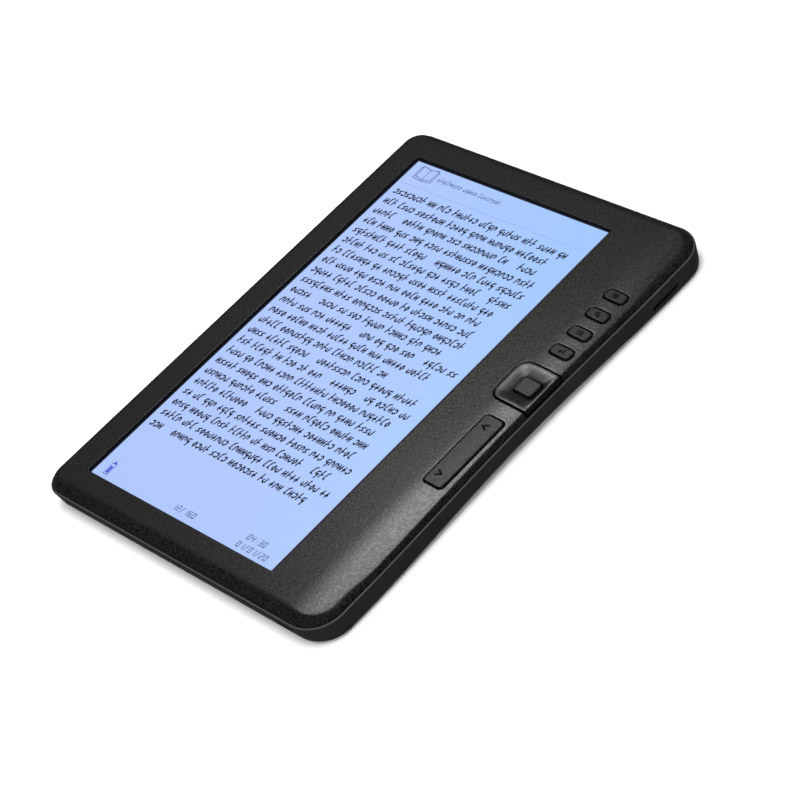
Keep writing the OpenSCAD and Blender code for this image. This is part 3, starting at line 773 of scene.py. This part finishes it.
def key_solid(plan, rise, flange, levels, posts, edge_r=0.25, shape=None, hole=None, spacing=0.6):
    """Cap with a rounded edge on a hidden flange, with posts under it.

    levels are the heights of the flange's underside, its top and the posts' feet.
    """
    low, high, foot = levels
    base = Plan(plan.centre, plan.size + 2 * np.asarray(flange), plan.left_r)
    loops = [plan.loop(-inset, spacing) for inset in fillet_insets(edge_r)]
    loops += [plan.loop(STEP, spacing), plan.loop(-edge_r - 0.3, spacing)]
    if np.max(flange) > 0:
        loops.append(base.loop(0, spacing))
    for at, r in posts:
        loops += [circle(at, r), circle(at, r + STEP)]
    if hole:
        loops += [hole.loop(inset, spacing / 2) for inset in [0, 0.04, 0.09, 0.15]]
    spots = grid(plan.centre - plan.size / 2, plan.centre + plan.size / 2, 0.6)
    clear = plan.outside(*spots.T) < -edge_r - 0.55
    if hole:
        clear &= hole.outside(*spots.T) > 0.4
    clear &= np.min([np.abs(np.hypot(*(spots - at).T) - r) for at, r in posts], axis=0) > 0.25

    def inside(x, y):
        kept = base.outside(x, y) < 0 if np.max(flange) > 0 else plan.outside(x, y) < 0
        return kept & (hole.outside(x, y) > 0) if hole else kept

    def top(x, y):
        depth = -plan.outside(x, y)
        height = FACE_Z + rise - crown_drop(x) - fillet_drop(depth, edge_r)
        if shape:
            height = height - shape(x, y)
        if hole:
            height = height - fillet_drop(hole.outside(x, y), 0.15)
        return np.where(depth > -STEP / 2, height, high)

    def bottom(x, y):
        near = np.min([np.hypot(x - at[0], y - at[1]) - r for at, r in posts], axis=0)
        return np.where(near < STEP / 2, foot, low)

    return *lifted(loops, spots[clear], inside, top, bottom), top


def small_key_solid(name):
    plan = SMALL_KEYS[name]
    foot = box_mm(name)[0][2]
    levels = (PLATE_Z - 0.7, PLATE_Z - 0.1, foot)
    return key_solid(plan, KEY_RISE, (FLANGE, FLANGE), levels, [(plan.centre, POST_R)])


CAP_TOPS = {}
for key_name in SMALL_KEYS:
    key_vertices, key_faces, CAP_TOPS[key_name] = small_key_solid(key_name)
    add_piece(key_name.replace("key", "cap"), key_vertices, key_faces, KEY_PLASTIC, key_name,
              [key_name])


def page_rocker():
    posts = [(ROCKER.centre + [0, side * 11], POST_R) for side in (-1, 1)]
    foot = box_mm("select_key")[0][2]
    levels = (PLATE_Z - 1, PLATE_Z - 0.5, foot)
    vertices, faces, top = key_solid(ROCKER, KEY_RISE, ROCKER_FLANGE, levels, posts)
    add_piece("rocker_cap", vertices, faces, KEY_PLASTIC, "page_rocker", ["page_rocker"])
    return top


CAP_TOPS["page_rocker"] = page_rocker()


def select_key():
    low = box_mm("select_key")[0][2]
    posts = [(SELECT.centre, POST_R)]
    levels = (low + 0.85, low + 0.85, low)
    vertices, faces, _ = key_solid(SELECT, SELECT_RISE, (0, 0), levels, posts, edge_r=0.3, spacing=0.5)
    add_piece("select_cap", vertices, faces, KEY_PLASTIC, "select_key", ["select_key"])


select_key()

DISH_DEPTH = 0.85
DISH_RIM = 0.9  # width of the level border round the dish


def dish(x, y):
    """Four soft slopes from the pad's rim down to the select key."""
    out = np.maximum(PAD_HOLE.outside(x, y), 0)
    to_rim = np.maximum(-PAD.outside(x, y) - DISH_RIM, 0)
    share = out / np.maximum(out + to_rim, 1e-6)
    return DISH_DEPTH * (1 - share) ** 1.2


def direction_pad():
    low = PAD_LOW[2]
    arms = ((-5, 0), (3.4, 0), (0, 5.2), (0, -5.2))
    posts = [(SELECT.centre + arm, POST_R) for arm in arms]
    base_z = PLATE_Z - 1.2
    vertices, faces, _ = key_solid(PAD, PAD_RISE, (0, 0), (base_z, base_z, low), posts,
                                   shape=dish, hole=PAD_HOLE, spacing=0.45)
    add_piece("direction_cap", vertices, faces, PAD_PLASTIC, "dpad_ring", ["dpad_ring"])


direction_pad()


# -------------------------------------------------------- strokes on surfaces

def stroke(start, end, width, top, height):
    """Thin raised bar between two points, laid on a surface whose height top gives."""
    start = np.asarray(start, float)
    end = np.asarray(end, float)
    along = (end - start) / max(float(np.hypot(*(end - start))), 1e-6)
    side = np.array([-along[1], along[0]]) * width / 2
    plan = np.array([start - side, end - side, end + side, start + side])
    surface_z = top(plan[:, 0], plan[:, 1])
    lower = np.column_stack([plan, surface_z - 0.02])
    upper = np.column_stack([plan, surface_z + height])
    faces = [(0, 3, 2, 1), (4, 5, 6, 7), (0, 1, 5, 4), (1, 2, 6, 5), (2, 3, 7, 6), (3, 0, 4, 7)]
    return np.vstack([lower, upper]), faces


def stroke_piece(name, bars, material, body, top, height):
    """One piece from many bars, each (start, end, width)."""
    vertices = []
    faces = []
    for bar in bars:
        points, sides = stroke(*bar, top, height)
        faces.extend(tuple(i + len(vertices) for i in side) for side in sides)
        vertices.extend(points.tolist())
    return add_piece(name, vertices, faces, material, body)


def path_bars(points, width):
    """Bars along a path, each a little long so that they join."""
    bars = []
    for a, b in zip(points[:-1], points[1:]):
        a = np.asarray(a, float)
        b = np.asarray(b, float)
        along = (b - a) / max(float(np.hypot(*(b - a))), 1e-6) * width * 0.35
        bars.append((a - along, b + along, width))
    return bars


def arc_path(centre, r, start, end, steps=10):
    turn = np.radians(np.linspace(start, end, steps + 1))
    return [(centre[0] + r * math.cos(a), centre[1] + r * math.sin(a)) for a in turn]


MARK_HEIGHT = 0.012


def key_marks():
    """Plain symbols: three bars, a ring with a handle, three columns, a bent arrow and two chevrons."""
    line = 0.5
    chevron_line = 0.7
    marks = {
        "menu_key": [path_bars([(-0.8, y), (0.8, y)], line) for y in (-0.62, 0, 0.62)],
        "zoom_key": [path_bars(arc_path((-0.15, 0.1), 0.62, 0, 360, 12), line),
                     path_bars([(0.3, -0.35), (0.85, -0.85)], line)],
        "view_key": [path_bars([(x, -0.75), (x, 0.75)], line) for x in (-0.85, 0.15, 0.85)],
        "back_key": [path_bars([(0.85, 0.7), (0.85, -0.25), (-0.8, -0.25)], line),
                     path_bars([(-0.25, 0.25), (-0.8, -0.25), (-0.25, -0.75)], line)],
    }
    for name, paths in marks.items():
        centre = SMALL_KEYS[name].centre
        bars = [(a + centre, b + centre, w) for path in paths for a, b, w in path]
        stroke_piece(name.replace("key", "mark"), bars, MARK_PAINT, name,
                     CAP_TOPS[name], MARK_HEIGHT)
    chevrons = []
    for side, turn in ((1, -1), (-1, 1)):
        at = ROCKER.centre + [-0.6, side * 10.2]
        tip = at + [turn * 0.8, 0]
        chevrons += path_bars([at + [-turn * 0.8, 0.95], tip, at + [-turn * 0.8, -0.95]], chevron_line)
    stroke_piece("rocker_marks", chevrons, MARK_PAINT, "page_rocker",
                 CAP_TOPS["page_rocker"], MARK_HEIGHT)


key_marks()


# ------------------------------------------------------------------- display

def flat_plate(name, plan, low, high, material, replaces=()):
    """Thin plate with eased edges."""
    ease = 0.05
    loops = [plan.loop(-inset, 6.0, 4) for inset in fillet_insets(ease, 3)]
    loops.append(plan.loop(-1.0, 6.0, 4))
    top = lambda x, y: high - fillet_drop(-plan.outside(x, y), ease)
    bottom = lambda x, y: np.full_like(x, low)
    vertices, faces = lifted(loops, [], lambda x, y: plan.outside(x, y) < 0, top, bottom)
    add_piece(name, vertices, faces, material, "case", replaces)


PAGE_LIFT = 0.03  # how far the page stands above the border round it
flat_plate(
    "panel_border",
    Plan((PAGE_X, PAGE_Y), (PAGE_W + 2 * PANEL_MARGIN, PAGE_L + 2 * PANEL_MARGIN), 0.6),
    PANEL_LOW[2], LIT_Z - PAGE_LIFT, PANEL_GLASS, ["polariser"],
)
flat_plate(
    "page_area",
    Plan((PAGE_X, PAGE_Y), (PAGE_W, PAGE_L), 0.1),
    LIT_Z - PAGE_LIFT, LIT_Z, PAGE_LIGHT,
)


def page_top(x, y):
    return np.full_like(x, LIT_Z)


INK_HEIGHT = 0.006
SLANT = 0.22  # lean of the marks, across for each unit up


def on_page(x, y):
    """A place measured from the middle of the page."""
    return np.array([PAGE_X + x, PAGE_Y + y])


# Strokes of the greeked marks, in a box one unit high. Some look like letters; they are drawn at random.
MARKS = (
    [[(0, 0), (0, 0.8), (0.25, 1), (0.52, 0.75), (0.52, 0.3)]],
    [[(0.52, 1), (0.52, 0.2), (0.28, 0), (0, 0.22), (0, 0.65)]],
    [[(0, 0.85), (0.28, 1), (0.54, 0.7), (0.5, 0.25), (0.22, 0), (0, 0.2)]],
    [[(0, 0.05), (0.48, 0.22), (0.05, 0.7), (0.52, 0.95)]],
    [[(0.1, 0), (0.1, 1.45)], [(0.1, 0.6), (0.5, 0.6)]],
    [[(0.52, 1), (0.1, 0.95), (0, 0.5), (0.3, 0.25), (0.5, 0.5), (0.5, -0.45)]],
    [[(0.26, 0), (0, 0.5), (0.26, 1), (0.54, 0.5), (0.26, 0)]],
    [[(0, 1), (0, 0.1)], [(0.5, 1), (0.5, 0)], [(0, 0.3), (0.5, 0.65)]],
    [[(0.42, 1.45), (0.12, 1.2), (0.12, 0.1), (0.45, 0)]],
    [[(0, 0.35), (0.25, 0.6), (0.5, 0.35)], [(0.25, 0), (0.25, 1)]],
)
ADVANCE = 0.92  # from one mark to the next, as a share of their height


def greeked_word(x, y, count, size, pen, draw):
    """A run of slanted marks that spells nothing."""
    bars = []
    for k in range(count):
        for path in draw.choice(MARKS):
            left = x + k * ADVANCE * size
            bars += path_bars([on_page(left + (a + SLANT * b) * size, y + b * size) for a, b in path], pen)
    return bars


def text_line(x, y, end, size, pen, draw):
    """A line of greeked words up to its right-hand end."""
    bars = []
    step = ADVANCE * size
    while x < end - 2 * step:
        count = min(draw.choice((2, 3, 3, 4, 4, 5, 5, 6, 7, 8)), int((end - x) / step))
        bars += greeked_word(x, y, count, size, pen, draw)
        wide = draw.random() < 0.12
        x += (count + (2.6 if wide else 0.7)) * step
    return bars


LINE_COUNT = 24
LINE_PITCH = 5.0
TEXT_LEFT = -40.6
FIRST_LINE_Y = 61.7
SHORT_LINE = 13  # the line that ends a paragraph
TEXT_HEIGHT = 2.0
TEXT_PEN = 0.55


def page_text():
    draw = random.Random(24)
    bars = []
    for k in range(LINE_COUNT):
        end = 20 if k == SHORT_LINE else draw.uniform(32.0, 41.0)
        bars += text_line(TEXT_LEFT, FIRST_LINE_Y - k * LINE_PITCH, end, TEXT_HEIGHT, TEXT_PEN, draw)
    stroke_piece("page_words", bars, INK, "case", page_top, INK_HEIGHT)


BOOK_X = -35.3
BOOK_Y = 73.0


def book_icon():
    """Outline of an open book."""
    line = 0.3
    bars = []
    for side in (-1, 1):
        cover = [(0, 2.3), (side * 3.4, 3.0), (side * 3.4, -1.9), (0, -2.6)]
        leaf = [(side * 3.4, 2.4), (side * 4.1, 2.4), (side * 4.1, -2.7), (0, -3.2)]
        for path in (cover, leaf):
            bars += path_bars([on_page(BOOK_X + a, BOOK_Y + b) for a, b in path], line)
    bars += path_bars([on_page(BOOK_X, BOOK_Y + 2.3), on_page(BOOK_X, BOOK_Y - 2.6)], line)
    return bars


SEGMENTS = {
    "0": "abcdef", "1": "bc", "2": "abged", "3": "abgcd", "4": "fgbc",
    "5": "afgcd", "6": "afgedc", "7": "abc", "8": "abcdefg", "9": "abcdfg",
}


def digits(text, x, y, size, pen):
    """Plain seven-stroke digits, with / and : between them."""
    bars = []
    w = 0.5 * size
    ends = {
        "a": ((0, size), (w, size)), "b": ((w, size), (w, size / 2)), "c": ((w, size / 2), (w, 0)),
        "d": ((0, 0), (w, 0)), "e": ((0, size / 2), (0, 0)), "f": ((0, size), (0, size / 2)),
        "g": ((0, size / 2), (w, size / 2)),
    }
    for mark in text:
        if mark == "/":
            bars += path_bars([on_page(x, y - 0.1 * size), on_page(x + w, y + 1.1 * size)], pen)
        elif mark == ":":
            bars += [(on_page(x + w / 2, y + level * size), on_page(x + w / 2, y + level * size + pen), pen)
                     for level in (0.2, 0.65)]
        for part in SEGMENTS.get(mark, ""):
            a, b = ends[part]
            bars += path_bars([on_page(x + a[0] + SLANT * a[1] / 2, y + a[1]),
                               on_page(x + b[0] + SLANT * b[1] / 2, y + b[1])], pen)
        x += w + 0.42 * size
    return bars


def battery_sign():
    """Upright battery outline, filled but for its top."""
    x, y, w, l = -38.9, -75.4, 1.9, 4.6
    case = [(x, y), (x + w, y), (x + w, y + l), (x, y + l), (x, y)]
    bars = path_bars([on_page(*corner) for corner in case], 0.25)
    bars += path_bars([on_page(x + w / 2, y + l), on_page(x + w / 2, y + l + 0.5)], 0.8)
    bars.append((on_page(x + w / 2, y + 0.5), on_page(x + w / 2, y + l - 1.2), w - 0.8))
    return bars


HEADER_Y = 71.9
HEADER_HEIGHT = 1.35
HEADER_PEN = 0.28
RULE_Y = 66.9
RULE_HALF = 41.5
RULE_PEN = 0.06
DIGIT_HEIGHT = 1.9
DIGIT_PEN = 0.3
COUNTERS = (("12/160", -5.6, -74.6), ("04:30", 26.2, -71.9), ("01/01/20", 25.0, -75.5))


def page_furniture():
    """Header, page count, clock and date in paler ink, and a blue battery sign."""
    draw = random.Random(5)
    bars = book_icon()
    for x, count in ((-29.6, 9), (-17.4, 5), (-10.4, 8)):
        bars += greeked_word(x, HEADER_Y, count, HEADER_HEIGHT, HEADER_PEN, draw)
    bars += path_bars([on_page(-RULE_HALF, RULE_Y), on_page(RULE_HALF, RULE_Y)], RULE_PEN)
    for text, x, y in COUNTERS:
        bars += digits(text, x, y, DIGIT_HEIGHT, DIGIT_PEN)
    stroke_piece("page_furniture", bars, PALE_INK, "case", page_top, INK_HEIGHT)
    stroke_piece("battery_sign", battery_sign(), BLUE_INK, "case", page_top, INK_HEIGHT)


page_text()
page_furniture()


# ------------------------------------------------- finishes of the CAD nodes

SLOT_OF_NODE = {part["node"]: part["material_slot"] for part in frame["record"]["subparts"]}


def finish_cad_nodes():
    """Every CAD node that still shows gets the finish of its record slot."""
    for name, node in frame["nodes"].items():
        for place in node.material_slots:
            label = place.material.name.split(".")[0] if place.material else ""
            finish = FINISHES.get(label) or FINISHES.get(SLOT_OF_NODE.get(name, ""))
            if finish:
                place.material = finish


finish_cad_nodes()


# ------------------------------------------------------ floor, light, camera

def make_floor():
    """Plain pale floor, wide enough for every view."""
    half = 6.0
    mesh = bpy.data.meshes.new("floor")
    corners = [(-half, -half, 0), (half, -half, 0), (half, half, 0), (-half, half, 0)]
    mesh.from_pydata(corners, [], [(0, 1, 2, 3)])
    floor = bpy.data.objects.new("floor", mesh)
    bpy.context.scene.collection.objects.link(floor)
    material, shader = principled("floor_paper", grey(0.86), 0.9, specular=0.1)
    tint = blend_colours(material, noise(material, 400, 2.0), grey(0.85), grey(0.87))
    material.node_tree.links.new(tint, shader.inputs["Base Color"])
    mesh.materials.append(material)
    floor.location.z = -0.0002
    floor.visible_glossy = False


def area_light(name, direction, distance, size, power):
    """Soft box that faces the e-reader from a direction."""
    data = bpy.data.lights.new(name, "AREA")
    data.shape = "RECTANGLE"
    data.size, data.size_y = size
    data.energy = power
    lamp = bpy.data.objects.new(name, data)
    towards = Vector(direction).normalized()
    lamp.location = towards * distance
    lamp.rotation_euler = towards.to_track_quat("Z", "Y").to_euler()
    bpy.context.scene.collection.objects.link(lamp)
    return lamp


def make_light():
    world = bpy.data.worlds.new("studio")
    world.use_nodes = True
    sky = world.node_tree.nodes["Background"]
    sky.inputs["Color"].default_value = (1, 1, 1, 1)
    sky.inputs["Strength"].default_value = 0.06
    bpy.context.scene.world = world
    area_light("soft_box", (-0.195, 0.153, 0.466), 0.52, (0.16, 0.14), 0.72)
    area_light("back_panel", (-0.663, 0.364, 0.654), 2.2, (2.0, 2.0), 1.6)
    area_light("top_panel", (0.3, 0.36, 0.88), 2.2, (1.2, 1.2), 1.2)
    overhead = area_light("overhead", (0.1, -0.05, 1.0), 2.2, (1.6, 1.6), 60)
    low_fill = area_light("low_fill", (0.25, -0.85, 0.32), 2.0, (1.6, 0.8), 32)
    side_fill = area_light("side_fill", (0.9, 0.1, 0.32), 2.0, (1.6, 0.8), 13)
    for lamp in (overhead, low_fill, side_fill):
        lamp.visible_glossy = False


EYE = np.array([570.6, -310.8, 551.3]) * MM
LOOK_AT = Vector((22.4 * MM, -9.4 * MM, LIT_Z * MM))
LEAN = math.radians(25.035)
LENS = 123.56
SENSOR = 36.0


def make_camera():
    """Camera at the photograph's viewing angle, leaning about its own axis."""
    data = bpy.data.cameras.new("camera")
    data.lens = LENS
    data.sensor_width = SENSOR
    camera = bpy.data.objects.new("camera", data)
    towards = LOOK_AT - Vector(EYE)
    turn = towards.to_track_quat("-Z", "Y").to_matrix() @ Matrix.Rotation(-LEAN, 3, "Z")
    camera.matrix_world = Matrix.Translation(Vector(EYE)) @ turn.to_4x4()
    bpy.context.scene.collection.objects.link(camera)
    bpy.context.scene.camera = camera


make_floor()
make_light()
make_camera()
bpy.context.scene.view_settings.view_transform = "Standard"
